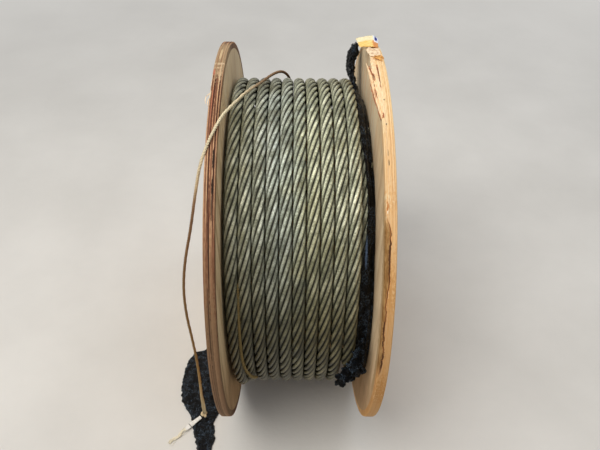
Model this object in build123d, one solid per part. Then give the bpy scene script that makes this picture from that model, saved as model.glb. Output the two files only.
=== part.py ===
from build123d import *
import os
from math import ceil, cos, sin, sqrt, tan, radians

# Wooden drum of steel wire rope, standing on the rims of its two plywood flanges.
# Millimetres. The axis of the drum is X and the origin is on it, midway between the flanges.
# Angles round the drum are in degrees from the top (+Z) towards the front (-Y).

# Flanges: two plywood discs
flange_diameter = 750.0
flange_thickness = 18.0
inside_width = 252.0            # clear width between the flanges
rim_chamfer = 2.0
arbor_diameter = 320.0          # large opening for the lifting bar or turntable cone

# Slot for the rope's inner end, at the back edge of each arbor opening
slot_length = 76.0
slot_width = 28.0
slot_reach = 12.0               # how far the slot's centre line lies outside the opening

# Steel wire rope, wound in layers
rope_diameter = 22.0
layer_count = 3
layer_rise = 20.0               # from one layer's turns to the next
winding_radius = 308.0          # outside of the top layer
first_turn_gap = 4.4            # from the left flange to the first turn of the top layer
turns_left_off = 1              # the top layer stops this many turns before the right flange
rope_sides = 8                  # sides of the outline that stands for the rope's round section
end_clearance = 0.3

# Barrel: staves round a ring of battens
stave_count = 18
stave_thickness = 14.0
stave_gap = 1.5
stave_groove_depth = 4.0        # the staves' ends stand in a groove in each flange
seat_clearance = 0.3
batten_count = 6
batten_height = 46.0
batten_width = 60.0
first_batten = 0.0              # the others follow at even angles

# Tie rods through the battens, with washers and thin nuts sunk in the flanges
rod_diameter = 12.0
rod_hole_diameter = 13.0
recess_diameter = 32.0
recess_depth = 9.0
washer_diameter = 30.0
washer_thickness = 2.5
nut_across_flats = 19.0
nut_height = 6.0
nut_bore = 12.2
rod_overhang = 0.2

# Torn inner edge at the top of the right flange's rim
tear_start = -3.4
tear_end = 18.7
tear_depth = 3.0                # across the rim
tear_height = 7.0               # down the inner face

# Plastic film left from the wrapping
film_thickness = 1.2
strip_start = -46.0             # upright strip behind the top, against the right flange
strip_end = -24.0
strip_reach = 369.0
strip_lean = 14.0               # how far its top hangs away from the flange
foot_start = -44.0              # band in the corner between the winding and the right flange
foot_end = 108.0
foot_turn_up = 8.0              # up the flange
foot_turn_in = 5.0              # up the last turn of rope
wad_start = 84.0                # crumpled end of the film, low on the front
wad_end = 109.0
wad_rise = 26.0
flap_thickness = 1.0            # flap on the ground, caught under the left flange
flap_start = 36.0               # its near end, in front of the drum's middle
flap_lift = 0.3                 # the creased film lies a little off the ground there
flap_rise = 1.45                # and rises to its far end, in degrees

# Folded tape label over the right rim, behind the top
label_start = -20.0
label_end = -10.0
label_thickness = 1.2

# Fibre twine
twine_diameter = 5.0
knot_size = 12.0
tape_length = 42.0
tape_turn = 43.0                # on the ground, from +X towards +Y
tape_width = 11.0
tape_thickness = 4.0

# Sizes that follow
flange_radius = flange_diameter / 2
arbor_radius = arbor_diameter / 2
inner_face = inside_width / 2
outer_face = inner_face + flange_thickness
rope_radius = rope_diameter / 2
top_turn_radius = winding_radius - rope_radius
winding_bore = winding_radius - rope_diameter - (layer_count - 1) * layer_rise
stave_angle = 360.0 / stave_count
stave_corner = winding_bore - seat_clearance
stave_outer = stave_corner * cos(radians(stave_angle / 2))
stave_inner = stave_outer - stave_thickness
batten_centre = stave_inner - batten_height / 2
first_turn = -inner_face + first_turn_gap + rope_radius
top_turns = int((inside_width - first_turn_gap) / rope_diameter) - turns_left_off
last_turn = first_turn + (top_turns - 1) * rope_diameter
film_foot = winding_radius - layer_rise + seat_clearance


def at_angle(shape, angle):
    """Turn a shape that was drawn at the top of the drum to its angle round the drum."""
    return shape.rotate(Axis.X, angle)


def section(points):
    """A face in the half plane above the axis, from points of (along, radius)."""
    with BuildSketch(Plane.XZ) as drawing:
        with BuildLine():
            Polyline(*points, close=True)
        make_face()
    return drawing.sketch


def turned(face, start=0.0, end=360.0):
    """Turn a section round the drum's axis, from one angle to another."""
    return at_angle(revolve(face, Axis.X, end - start), start)


def bent_strip(points, thickness):
    """A section of even thickness that follows points of (along, radius), outwards of them."""
    lifted = [(along, radius + thickness) for along, radius in reversed(points)]
    return section(points + lifted)


def tube_along(points, diameter, name):
    """A round cord along straight runs that are joined by arcs as large as the runs allow."""
    corners = [Vector(*point) for point in points]
    radii = []
    for before, corner, after in zip(corners, corners[1:], corners[2:]):
        turn = (corner - before).get_angle(after - corner)
        shorter = min((corner - before).length, (after - corner).length)
        radii.append(0.45 * shorter / tan(radians(turn / 2)))
    path = FilletPolyline(*points, radius=radii)
    start = Plane(origin=path @ 0, z_dir=path % 0)
    outline = start * RegularPolygon(diameter / 2, rope_sides, major_radius=False)
    tube = sweep(outline, path=path)
    expected = outline.area * path.length
    print(name, "length", round(path.length, 1), "volume / expected", round(tube.volume / expected, 4))
    print(name, "radii", [round(radius) for radius in radii])
    return tube


def flange(side):
    """One plywood flange. side is -1 for the left one and +1 for the right one."""
    rim = flange_radius - rim_chamfer
    disc = turned(section([
        (side * inner_face, arbor_radius), (side * inner_face, rim),
        (side * (inner_face + rim_chamfer), flange_radius),
        (side * (outer_face - rim_chamfer), flange_radius),
        (side * outer_face, rim), (side * outer_face, arbor_radius),
    ]), stave_angle, stave_angle + 360)
    # rope slot, upright at the back of the arbor opening
    with BuildSketch(Plane.YZ.offset(side * inner_face)) as outline:
        with Locations((arbor_radius + slot_reach, 0)):
            SlotOverall(slot_length, slot_width, rotation=90)
    disc -= extrude(outline.sketch, flange_thickness, both=True)
    # groove for the ends of the staves
    groove = [
        (side * (inner_face - 1), stave_inner - seat_clearance),
        (side * (inner_face + stave_groove_depth), stave_inner - seat_clearance),
        (side * (inner_face + stave_groove_depth), stave_corner + seat_clearance),
        (side * (inner_face - 1), stave_corner + seat_clearance),
    ]
    disc -= turned(section(groove))
    # tie rod holes, each with a round recess on the outside
    hole = Cylinder(rod_hole_diameter / 2, inside_width * 2, rotation=(0, 90, 0))
    recess = Cylinder(recess_diameter / 2, recess_depth * 2, rotation=(0, 90, 0))
    recess = recess.moved(Location((side * outer_face, 0, 0)))
    for number in range(batten_count):
        angle = first_batten + number * 360.0 / batten_count
        disc -= at_angle((hole + recess).moved(Location((0, 0, batten_centre))), angle)
    return disc


def torn_rim(disc):
    """Take the splintered corner off the inner edge of the right flange's rim."""
    corner = section([
        (inner_face - 1, flange_radius + 1),
        (inner_face + tear_depth + rim_chamfer, flange_radius + 1),
        (inner_face, flange_radius - tear_height),
        (inner_face - 1, flange_radius - tear_height),
    ])
    return disc - turned(corner, tear_start, tear_end)


def barrel_staves():
    """Planed boards round the barrel, with radial edges and a narrow gap between them."""
    half = radians(stave_angle / 2)
    inner_half = stave_inner * tan(half) - stave_gap / 2
    outer_half = stave_outer * tan(half) - stave_gap / 2
    with BuildSketch(Plane.YZ.offset(-inner_face - stave_groove_depth)) as end:
        with BuildLine():
            Polyline(
                (-inner_half, stave_inner), (inner_half, stave_inner),
                (outer_half, stave_outer), (-outer_half, stave_outer), close=True,
            )
        make_face()
    stave = extrude(end.sketch, inside_width + 2 * stave_groove_depth)
    return [at_angle(stave, first_batten + number * stave_angle) for number in range(stave_count)]


def barrel_battens():
    """Bars inside the barrel that carry the staves, each drilled for its tie rod."""
    batten = Box(inside_width, batten_width, batten_height)
    batten -= Cylinder(rod_hole_diameter / 2, inside_width * 2, rotation=(0, 90, 0))
    batten = batten.moved(Location((0, 0, batten_centre)))
    return round_the_battens(batten)


def round_the_battens(piece):
    """Repeat a piece that was drawn at the top at each of the battens."""
    return [at_angle(piece, first_batten + number * 360.0 / batten_count) for number in range(batten_count)]


def tie_rods():
    """Straight rods with both ends just short of the flanges' outer faces."""
    reach = outer_face - recess_depth + washer_thickness + nut_height + rod_overhang
    rod = Cylinder(rod_diameter / 2, 2 * reach, rotation=(0, 90, 0))
    return round_the_battens(rod.moved(Location((0, 0, batten_centre))))


def washers():
    """Round washers on the floors of the recesses."""
    ring = Cylinder(washer_diameter / 2, washer_thickness, rotation=(0, 90, 0))
    ring -= Cylinder(rod_hole_diameter / 2, washer_thickness * 2, rotation=(0, 90, 0))
    floor = outer_face - recess_depth + washer_thickness / 2
    both = [ring.moved(Location((side * floor, 0, batten_centre))) for side in (-1, 1)]
    return [piece for ring_here in both for piece in round_the_battens(ring_here)]


def nuts():
    """Thin hexagon nuts on the washers."""
    with BuildSketch(Plane.YZ) as outline:
        RegularPolygon(nut_across_flats / 2, 6, major_radius=False)
        Circle(nut_bore / 2, mode=Mode.SUBTRACT)
    nut = extrude(outline.sketch, nut_height / 2, both=True)
    seat = outer_face - recess_depth + washer_thickness + nut_height / 2
    both = [nut.moved(Location((side * seat, 0, batten_centre))) for side in (-1, 1)]
    return [piece for nut_here in both for piece in round_the_battens(nut_here)]


def wire_rope_winding():
    """The whole winding as one turned solid, with the turns that show round and on its ends."""
    lowest = winding_bore + rope_radius
    left_most = -inner_face + end_clearance + rope_radius
    right_most = -left_most
    right_turns, left_turns = [], []
    for layer in range(1, layer_count):
        radius = top_turn_radius - layer * layer_rise
        # each layer starts against the flange where the layer below it ended
        shift = 0.0 if layer % 2 else rope_radius
        left_turns.append((left_most + shift, radius))
        right_turns.append((right_most - (rope_radius - shift), radius))
    second_radius = top_turn_radius - layer_rise
    core = [(first_turn, top_turn_radius), (last_turn, top_turn_radius), (last_turn, second_radius)]
    core += right_turns + [(right_turns[-1][0], winding_bore), (left_turns[-1][0], winding_bore)]
    core += list(reversed(left_turns))
    shown = [(first_turn + number * rope_diameter, top_turn_radius) for number in range(top_turns)]
    # turns of the second layer that show between the last turn and the right flange
    beside = ceil((right_turns[0][0] - last_turn) / rope_diameter)
    shown += [(right_turns[0][0] - number * rope_diameter, second_radius) for number in range(1, beside)]
    with BuildSketch(Plane.XZ) as profile:
        with BuildLine():
            Polyline(*core, close=True)
        make_face()
        with Locations(*(shown + right_turns + left_turns)):
            RegularPolygon(rope_radius, rope_sides, major_radius=False, rotation=180 / rope_sides)
    return revolve(profile.sketch, Axis.X, 360)


def wrap_strip_right():
    """Film that stayed in the corner at the right flange, with a strip standing behind the top."""
    corner = inner_face - seat_clearance
    beside_rope = last_turn + rope_radius + seat_clearance + film_thickness / 2
    foot = bent_strip([
        (beside_rope, film_foot + foot_turn_in), (beside_rope + foot_turn_in, film_foot),
        (corner - foot_turn_up, film_foot), (corner, film_foot + foot_turn_up),
    ], film_thickness)
    bend = (film_foot + strip_reach) / 2
    inside = corner - film_thickness
    upright = section([
        (inside, film_foot + foot_turn_in), (corner, film_foot + foot_turn_in), (corner, bend),
        (corner - strip_lean, strip_reach), (inside - strip_lean, strip_reach), (inside, bend),
    ])
    return turned(foot, foot_start, foot_end) + turned(upright, strip_start, strip_end)


def wrap_wad_right():
    """The crumpled end of that film, pressed on the last turns low on the front."""
    seat = winding_radius + seat_clearance
    left = last_turn - rope_diameter
    right = inner_face - film_thickness - 2 * seat_clearance
    body = section([
        (left, seat), (last_turn + rope_radius, seat), (right, seat),
        (right - 2, seat + 0.5 * wad_rise), (right - 12, seat + 0.9 * wad_rise),
        (last_turn + 4, seat + wad_rise), (left + 10, seat + 0.7 * wad_rise),
    ])
    return turned(body, wad_start, wad_end)


def on_flap(shape, height=0.0):
    """Lift a shape that was drawn on the level ground onto the flap's slope."""
    hinge = Axis((0, -flap_start, -flange_radius + flap_lift), (1, 0, 0))
    return shape.moved(Location((0, 0, flap_lift + height))).rotate(hinge, -flap_rise)


def wrap_flap_left():
    """A flap of film on the ground, with one tongue caught under the left flange's rim."""
    # points of (outwards from the flange's outer face, along Y)
    outline = [
        (6, -flap_start), (-15, -flap_start - 1), (-13, -72), (16, -90), (42, -150), (28, -210), (42, -240),
        (36, -283), (52, -330), (68, -318), (84, -268), (96, -226), (120, -192),
        (127, -156), (125, -110), (119, -80), (105, -56), (84, -52),
    ]
    with BuildSketch(Plane.XY.offset(-flange_radius)) as shape:
        with BuildLine():
            Polyline(*[(-outer_face - out, along) for out, along in outline], close=True)
        make_face()
    return on_flap(extrude(shape.sketch, flap_thickness))


def rim_label():
    """Folded tape over the rim, with its inner end standing up a little."""
    seat = flange_radius + seat_clearance
    tape = bent_strip([
        (inner_face - 26, seat + 8), (inner_face - 12, seat + 3), (inner_face, seat), (outer_face, seat),
    ], label_thickness)
    return turned(tape, label_start, label_end)


def round_route(points):
    """Points of (along, radius, angle) as places in space."""
    return [
        (along, -radius * sin(radians(angle)), radius * cos(radians(angle)))
        for along, radius, angle in points
    ]


# Heights of the twine's middle: down in a groove between two turns, and over a turn
in_groove = winding_radius - rope_radius + rope_radius * tan(radians(180 / rope_sides))
in_groove += (twine_diameter / 2 + seat_clearance) * sqrt(2)
over_turn = winding_radius + twine_diameter / 2 + seat_clearance

# Twine from the groove between the fifth and sixth turns at the back, over the top and
# the left rim, and down to the ground in front of it
lashing_groove = first_turn + 4.5 * rope_diameter
lashing_route = round_route([
    (lashing_groove, in_groove + 1.8, -80), (lashing_groove, in_groove + 2.2, -70),
    (lashing_groove - 2.5, over_turn + 1.7, -60), (lashing_groove - 7, over_turn + 3.5, -50),
]) + [
    (-24, 203, 240), (-40, 160, 280),
    (-57, 118, 298), (-76, 55, 312), (-94, 10, 325), (-110, -62, 344), (-123, -122, 361),
    (-148, -184, 333), (-161, -202, 275), (-174, -213, 210), (-189, -226, 150), (-198, -236, 88),
    (-200, -241, 22), (-197, -244, -46), (-196, -245, -114), (-198, -243, -182), (-202, -238, -244),
    (-206, -232, -299), (-208.5, -227.5, -356),
]
on_film = flap_thickness + seat_clearance

# The same twine where it shows again low on the front: in the groove between the first
# two turns, then over the second and down beside the third
lower_groove = first_turn + rope_radius
lower_lashing_route = round_route([
    (lower_groove, in_groove + 1.5, 62), (lower_groove, in_groove + 1.6, 72),
    (lower_groove, in_groove + 1.5, 82), (lower_groove + 0.3, in_groove + 1.6, 91),
    (lower_groove + 4, over_turn + 1, 98), (lower_groove + 11, over_turn + 2.5, 103),
    (lower_groove + 17, over_turn + 1.5, 106.5), (lower_groove + 22, in_groove + 1.5, 110),
])


def lashing_knot():
    """The knot as a rounded lump."""
    knot = Box(knot_size, knot_size, knot_size)
    knot = chamfer(knot.edges(), knot_size * 0.28)
    return on_flap(knot.moved(Location((-208.5, -227, -flange_radius + knot_size / 2))), on_film)


def frayed_tape():
    """White tape round the twine's end, flat on the ground, drawn out to a frayed tail."""
    tape = Box(tape_length, tape_width, tape_thickness)
    tape = fillet(tape.edges().filter_by(Axis.X), tape_thickness * 0.4)
    place = Location((-231, -247, -flange_radius + tape_thickness / 2), (0, 0, tape_turn))
    return on_flap(tape.moved(place), on_film)


os.makedirs("parts", exist_ok=True)
pieces = {
    "flange_left": flange(-1),
    "flange_right": torn_rim(flange(1)),
    "barrel_staves": barrel_staves(),
    "barrel_battens": barrel_battens(),
    "tie_rods": tie_rods(),
    "tie_rod_washers": washers(),
    "tie_rod_nuts": nuts(),
    "wire_rope_winding": wire_rope_winding(),
    "wrap_strip_right": wrap_strip_right(),
    "wrap_wad_right": wrap_wad_right(),
    "wrap_flap_left": wrap_flap_left(),
    "rim_label": rim_label(),
    "lashing_twine": tube_along(lashing_route, twine_diameter, "lashing_twine"),
    "lashing_lower_twine": tube_along(lower_lashing_route, twine_diameter, "lashing_lower_twine"),
    "lashing_knot": lashing_knot(),
    "lashing_tape": frayed_tape(),
}
for name, piece in pieces.items():
    if isinstance(piece, list):
        piece = Compound(children=[solid for item in piece for solid in item.solids()])
    export_step(piece, f"parts/{name}.step")
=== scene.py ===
from math import asin, atan2, cos, degrees as degrees_of, floor, pi, radians, sin, sqrt, tau

import bmesh
import bpy
import numpy as np
from mathutils import Matrix, Vector, noise


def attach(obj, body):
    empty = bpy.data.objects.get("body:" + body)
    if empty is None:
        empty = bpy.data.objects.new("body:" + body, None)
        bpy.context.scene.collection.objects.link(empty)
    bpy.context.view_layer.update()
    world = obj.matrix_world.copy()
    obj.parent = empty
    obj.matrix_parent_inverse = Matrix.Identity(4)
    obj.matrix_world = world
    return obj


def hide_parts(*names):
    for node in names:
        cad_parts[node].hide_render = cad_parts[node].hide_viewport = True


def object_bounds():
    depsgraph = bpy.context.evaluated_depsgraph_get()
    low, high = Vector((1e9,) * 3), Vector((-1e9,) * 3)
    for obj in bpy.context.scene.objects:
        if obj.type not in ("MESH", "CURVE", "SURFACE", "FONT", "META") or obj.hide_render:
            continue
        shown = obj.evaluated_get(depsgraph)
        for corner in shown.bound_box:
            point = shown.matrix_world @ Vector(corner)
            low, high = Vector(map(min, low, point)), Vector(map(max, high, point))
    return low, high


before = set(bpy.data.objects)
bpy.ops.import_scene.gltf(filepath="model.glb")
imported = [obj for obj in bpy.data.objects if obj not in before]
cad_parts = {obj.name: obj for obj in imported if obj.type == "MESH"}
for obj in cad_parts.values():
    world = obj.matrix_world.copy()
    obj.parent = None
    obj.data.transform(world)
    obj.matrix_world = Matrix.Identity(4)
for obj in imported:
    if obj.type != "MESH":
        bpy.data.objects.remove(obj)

solid_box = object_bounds()


# Camera: it stands about a metre and a quarter in front of the drum, at head height, and
# looks down at the front of the winding.
lens = bpy.data.cameras.new("camera")
lens.lens = 35.84
lens.sensor_width = 36.0
lens.clip_start = 0.01
camera = bpy.data.objects.new("camera", lens)
bpy.context.scene.collection.objects.link(camera)
to_right = Vector((0.99992231, -0.00464898, 0.01156574))
to_top = Vector((-0.00498606, 0.70121428, 0.71293314))
axes = Matrix((to_right, to_top, to_right.cross(to_top))).transposed()
camera.matrix_world = Matrix.Translation((-0.010415, -0.888000, 0.884889)) @ axes.to_4x4()
bpy.context.scene.camera = camera
bpy.context.scene.view_settings.view_transform = "Standard"


# Floor and light: a plain pale floor that passes into a pale surrounding, and two broad soft
# lamps, the larger one above and in front.
def paint(text):
    """A linear colour from its screen value, such as #e8e6e2."""
    parts = [int(text[n:n + 2], 16) / 255 for n in (1, 3, 5)]
    return tuple(c / 12.92 if c <= 0.04045 else ((c + 0.055) / 1.055) ** 2.4 for c in parts) + (1.0,)


class Value:
    """A node's output. Counting with it puts math nodes into its tree."""

    def __init__(self, nodes, socket):
        self.nodes, self.socket = nodes, socket

    def __add__(self, other):
        return self.nodes.math("ADD", self, other)

    def __sub__(self, other):
        return self.nodes.math("SUBTRACT", self, other)

    def __rsub__(self, other):
        return self.nodes.math("SUBTRACT", other, self)

    def __mul__(self, other):
        return self.nodes.math("MULTIPLY", self, other)

    def __truediv__(self, other):
        return self.nodes.math("DIVIDE", self, other)

    def __abs__(self):
        return self.nodes.math("ABSOLUTE", self)


def spaced(values):
    """Sockets' names as they are, from keywords that have an underscore for a space."""
    return {name.replace("_", " "): value for name, value in values.items()}


class Nodes:
    """One node tree, filled in with short calls. A Value is linked, a number or a colour is set."""

    def __init__(self, tree):
        self.tree = tree

    def node(self, kind, values, **settings):
        node = self.tree.nodes.new(kind if kind.startswith("Node") else "ShaderNode" + kind)
        for name, setting in settings.items():
            setattr(node, name, setting)
        for name, value in values.items():
            if isinstance(value, Value):
                self.tree.links.new(value.socket, node.inputs[name])
            else:
                node.inputs[name].default_value = paint(value) if isinstance(value, str) else value
        return node

    def add(self, kind, values=None, **settings):
        """The outputs of a new node, by number and by name."""
        sockets = self.node(kind, values or {}, **settings).outputs
        numbered = {number: Value(self, socket) for number, socket in enumerate(sockets)}
        return {**numbered, **{value.socket.name: value for value in numbered.values()}}

    def math(self, operation, first, second=0):
        return self.add("Math", {0: first, 1: second}, operation=operation)[0]

    def vector_math(self, operation, first, second=(0, 0, 0)):
        return self.add("VectorMath", {0: first, 1: second}, operation=operation)

    def span(self, value, low, high, to_low=0, to_high=1):
        """A smooth step from to_low, where value is low, to to_high, where it is high."""
        values = {0: value, 1: low, 2: high, 3: to_low, 4: to_high}
        return self.add("MapRange", values, interpolation_type="SMOOTHSTEP")[0]

    def window(self, value, start, full, fade, end, most=1):
        """Rises between start and full, and falls again between fade and end."""
        return self.span(value, start, full) * self.span(value, fade, end, most, 0)

    def mix(self, amount, first, second, way="MIX"):
        return self.add("Mix", {0: amount, 6: first, 7: second}, data_type="RGBA", blend_type=way)[2]

    def ramp(self, value, *stops):
        """A colour that passes through stops of (place, colour)."""
        node = self.node("ValToRGB", {0: value})
        elements = node.color_ramp.elements
        while len(elements) < len(stops):
            elements.new(1.0)
        for element, (place, colour) in zip(elements, stops):
            element.position, element.color = place, paint(colour)
        return Value(self, node.outputs[0])

    def stretch(self, vector, *scale):
        return self.vector_math("MULTIPLY", vector, scale)[0]

    def noise(self, vector, scale, detail=3, roughness=0.55, distortion=0):
        values = {"Vector": vector, "Scale": scale, "Detail": detail, "Roughness": roughness,
                  "Distortion": distortion}
        return self.add("TexNoise", values)[0]

    def bump(self, height, distance):
        return self.add("Bump", {"Height": height, "Distance": distance})[0]

    def where(self):
        """The place on the drum, in metres."""
        return self.add("TexCoord")["Object"]

    def strand_uv(self):
        """Across and along a laid rope's strands."""
        return self.parts(self.add("UVMap", uv_map="strand")[0])

    def parts(self, vector):
        return self.add("SeparateXYZ", {0: vector})

    def join(self, x, y, z=0):
        return self.add("CombineXYZ", {0: x, 1: y, 2: z})[0]

    def use(self, group, **values):
        """The outputs of an effect."""
        return self.add("Group", spaced(values), node_tree=group)

    def give(self, **values):
        """Closes an effect."""
        self.node("NodeGroupOutput", spaced(values))


def effect(name, takes, gives):
    """A new shader node group, its node tree and what it takes. takes and gives are its sockets."""
    kinds = {"value": "NodeSocketFloat", "vector": "NodeSocketVector"}
    group = bpy.data.node_groups.new(name, "ShaderNodeTree")
    for label, kind, default in takes:
        socket = group.interface.new_socket(name=label, in_out="INPUT", socket_type=kinds[kind])
        socket.default_value = default
    for label, kind in gives:
        group.interface.new_socket(name=label, in_out="OUTPUT", socket_type=kinds[kind])
    nodes = Nodes(group)
    return group, nodes, nodes.add("NodeGroupInput")


def finish_of(name):
    """A new material and its node tree, still empty."""
    material = bpy.data.materials.new(name)
    material.use_nodes = True
    material.node_tree.nodes.clear()
    return material, Nodes(material.node_tree)


def surface(nodes, colour, roughness, height, relief, **shader):
    """Closes a material: a Principled BSDF with a bump from height, relief metres deep."""
    values = {"Base Color": colour, "Roughness": roughness, "Normal": nodes.bump(height, relief)}
    values.update(spaced(shader))
    nodes.node("OutputMaterial", {"Surface": nodes.add("BsdfPrincipled", values)[0]})


def show(made):
    """Puts an object into the scene."""
    bpy.context.scene.collection.objects.link(made)
    return made


def piece(name, points, faces, materials, smooth=True):
    """A mesh object in the drum's own frame, in metres."""
    mesh = bpy.data.meshes.new(name)
    mesh.from_pydata([tuple(point) for point in points], [], faces)
    for material in materials:
        mesh.materials.append(material)
    mesh.polygons.foreach_set("use_smooth", [smooth] * len(mesh.polygons))
    return show(bpy.data.objects.new(name, mesh))


floor_level = solid_box[0].z
floor_paint, nodes = finish_of("floor_paint")
here = nodes.where()
mottle = nodes.noise(here, 3, 5)
bump = nodes.bump(nodes.noise(here, 60), 0.0005)
colour = nodes.ramp(mottle, (0.3, "#d6d2cb"), (0.7, "#e2ded7"))
shaded = nodes.add("BsdfPrincipled", {"Base Color": colour, "Roughness": 0.8, "Normal": bump})[0]
path = nodes.add("LightPath")
seen = nodes.math("MAXIMUM", path["Is Camera Ray"], path["Is Glossy Ray"])
away = nodes.vector_math("LENGTH", here)[1]
background, background_level = "#e8e6e2", 0.85
far_floor = nodes.add("Emission", {"Color": background, "Strength": background_level})[0]
both = nodes.add("MixShader", {0: seen * nodes.span(away, 0.9, 3.6), 1: shaded, 2: far_floor})[0]
nodes.add("OutputMaterial", {"Surface": both})
corners = [(-30, -30, floor_level), (30, -30, floor_level), (30, 30, floor_level), (-30, 30, floor_level)]
ground = piece("floor", corners, [(0, 1, 2, 3)], [floor_paint])

world = bpy.data.worlds.new("surrounding")
bpy.context.scene.world = world
world.use_nodes = True
world.node_tree.nodes.clear()
nodes = Nodes(world.node_tree)
path = nodes.add("LightPath")
seen = nodes.math("MAXIMUM", path["Is Camera Ray"], path["Is Glossy Ray"])
lit = nodes.add("Background", {"Color": "#e2e6eb", "Strength": 0.42})[0]
shown = nodes.add("Background", {"Color": background, "Strength": background_level})[0]
both = nodes.add("MixShader", {0: seen, 1: lit, 2: shown})[0]
nodes.add("OutputWorld", {"Surface": both})


def lamp(name, place, target, width, power, colour):
    light = bpy.data.lights.new(name, "AREA")
    light.shape = "DISK"
    light.size = width
    light.energy = power
    light.color = paint(colour)[:3]
    holder = show(bpy.data.objects.new(name, light))
    holder.location = place
    holder.rotation_euler = (Vector(target) - Vector(place)).to_track_quat("-Z", "Y").to_euler()


lamp("lamp_above", (-0.80, -0.8, 2.5), (0, 0, 0), 2.1, 62, "#fffcf7")
lamp("lamp_behind", (1.2, 1.7, 2.3), (0, 0, 0), 2.0, 20, "#f4f8ff")


# Barrel: eighteen planed pine boards stand in a groove of each flange, on six hardwood
# bars that lie inside. Nobody sees them but through the flanges' openings.
wood_grain, nodes, takes = effect(
    "wood_grain",
    [("Place", "vector", (0, 0, 0)), ("Fineness", "value", 1)],
    [("Figure", "value"), ("Streak", "value"), ("Pore", "value")],
)
# Place has the grain along its third axis.
across = nodes.stretch(takes["Place"], 1, 1, 0.09)
bent = nodes.noise(nodes.stretch(takes["Place"], 1, 1, 0.25), 9, 2)
shift = bent * 0.02
wavy = nodes.vector_math("ADD", across, nodes.join(shift, shift))[0]
pore = nodes.noise(nodes.stretch(takes["Place"], 1, 1, 0.04), takes["Fineness"] * 900, 2)
nodes.give(
    Figure=nodes.noise(wavy, takes["Fineness"] * 38, 3, 0.6),
    Streak=nodes.noise(wavy, takes["Fineness"] * 260, 4, 0.7),
    Pore=nodes.span(pore, 0.62, 0.72),
)


def sawn_wood(name, pale, dark):
    """The finish of a plain sawn board that lies along the drum's axis."""
    material, nodes = finish_of(name)
    parts = nodes.parts(nodes.where())
    grain = nodes.use(wood_grain, Place=nodes.join(parts["Y"], parts["Z"], parts["X"]), Fineness=0.8)
    tone = grain["Figure"] * 0.6 + grain["Streak"] * 0.4
    colour = nodes.ramp(tone, (0.3, dark), (0.62, pale))
    colour = nodes.mix(grain["Pore"] * 0.35, colour, dark, "MULTIPLY")
    surface(nodes, colour, 0.75, tone, 0.0006, Specular_IOR_Level=0.25)
    return material


def dress(node, material):
    """Gives a solid that stays as it is its finish."""
    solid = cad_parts[node]
    solid.data.materials.clear()
    solid.data.materials.append(material)


dress("barrel_staves", sawn_wood("planed_pine", "#d6ba8e", "#a07a50"))
dress("barrel_battens", sawn_wood("dark_hardwood", "#7a5638", "#462e1e"))


# Tie rods: six threaded rods of galvanised steel through the bars, with a washer and a
# thin nut at each end, sunk in round recesses of the flanges.
galvanised, nodes = finish_of("galvanised_steel")
here = nodes.where()
spangle = nodes.add("TexVoronoi", {"Vector": here, "Scale": 420.0})["Color"]
dull = nodes.noise(here, 90, 4)
rust = nodes.span(nodes.noise(here, 55, 5, 0.7), 0.56, 0.7)
zinc = nodes.mix(0.25, nodes.ramp(dull, (0.3, "#787c7c"), (0.7, "#acaeac")), spangle, "SOFT_LIGHT")
along = nodes.parts(here)[0]
thread = nodes.math("PINGPONG", along * (1000 / 1.75), 0.5)
surface(nodes, nodes.mix(rust * 0.7, zinc, "#704228"),
        nodes.span(rust, 0, 1, 0.42, 0.8), thread, 0.0008, Metallic=0.75)
plain_zinc, nodes = finish_of("zinc_plate")
here = nodes.where()
dull = nodes.noise(here, 120, 4)
rust = nodes.span(nodes.noise(here, 60, 5, 0.7), 0.54, 0.68)
zinc = nodes.ramp(dull, (0.3, "#808280"), (0.7, "#b0b0aa"))
surface(nodes, nodes.mix(rust * 0.75, zinc, "#76462a"),
        nodes.span(rust, 0, 1, 0.4, 0.8), nodes.noise(here, 700), 0.0001, Metallic=0.7)
dress("tie_rods", galvanised)
dress("tie_rod_washers", plain_zinc)
dress("tie_rod_nuts", plain_zinc)


# Flanges: two discs of thick plywood, cut round on a router. Their faces have a vertical
# grain, and the rims show the plies' edges, weathered on the left and fresh on the right.
flange_radius = 0.375
inner_face = 0.126
flange_thickness = 0.018
ply_count = 9
arbor_radius = 0.160
slot_middle = 0.172             # of the rope slot, from the axis
slot_half = 0.014
slot_run = 0.024                # from the slot's middle to the centre of its rounded end
rod_circle = 0.204967
recess_radius = 0.016
rod_hole = 0.0065
rim_steps = 1080

drum_place, nodes, takes = effect(
    "drum_place", [("Place", "vector", (0, 0, 0))],
    [("Angle", "value"), ("Radius", "value"), ("Along", "value"), ("Round", "vector")],
)
# Angle is in degrees from the top towards the front. Round follows the circle, so that a
# noise on it is drawn out along the rim without a seam.
parts = nodes.parts(takes["Place"])
back = parts[1] * -1.0
angle = nodes.math("ARCTAN2", back, parts[2]) * (180 / pi)
radius = nodes.vector_math("LENGTH", nodes.join(0, parts[1], parts[2]))[1]
circle = nodes.join(parts[0], parts[1] * 0.03 / radius, parts[2] * 0.03 / radius)
nodes.give(Angle=angle, Radius=radius, Along=parts[0], Round=circle)

# A soft-edged mark round a middle, with a ragged outline from Rag.
mark, nodes, takes = effect(
    "mark",
    [("U", "value", 0), ("V", "value", 0), ("Middle U", "value", 0), ("Middle V", "value", 0),
     ("Half U", "value", 1), ("Half V", "value", 1), ("Rag", "value", 0.5), ("Soft", "value", 0.4)],
    [("Mask", "value")],
)
u = (takes["U"] - takes["Middle U"]) / takes["Half U"]
v = (takes["V"] - takes["Middle V"]) / takes["Half V"]
reach = nodes.math("SQRT", u * u + v * v) + (takes["Rag"] - 0.5) * 1.6
nodes.give(Mask=nodes.span(reach, 1.0 - takes["Soft"], 1, 1, 0))

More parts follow.
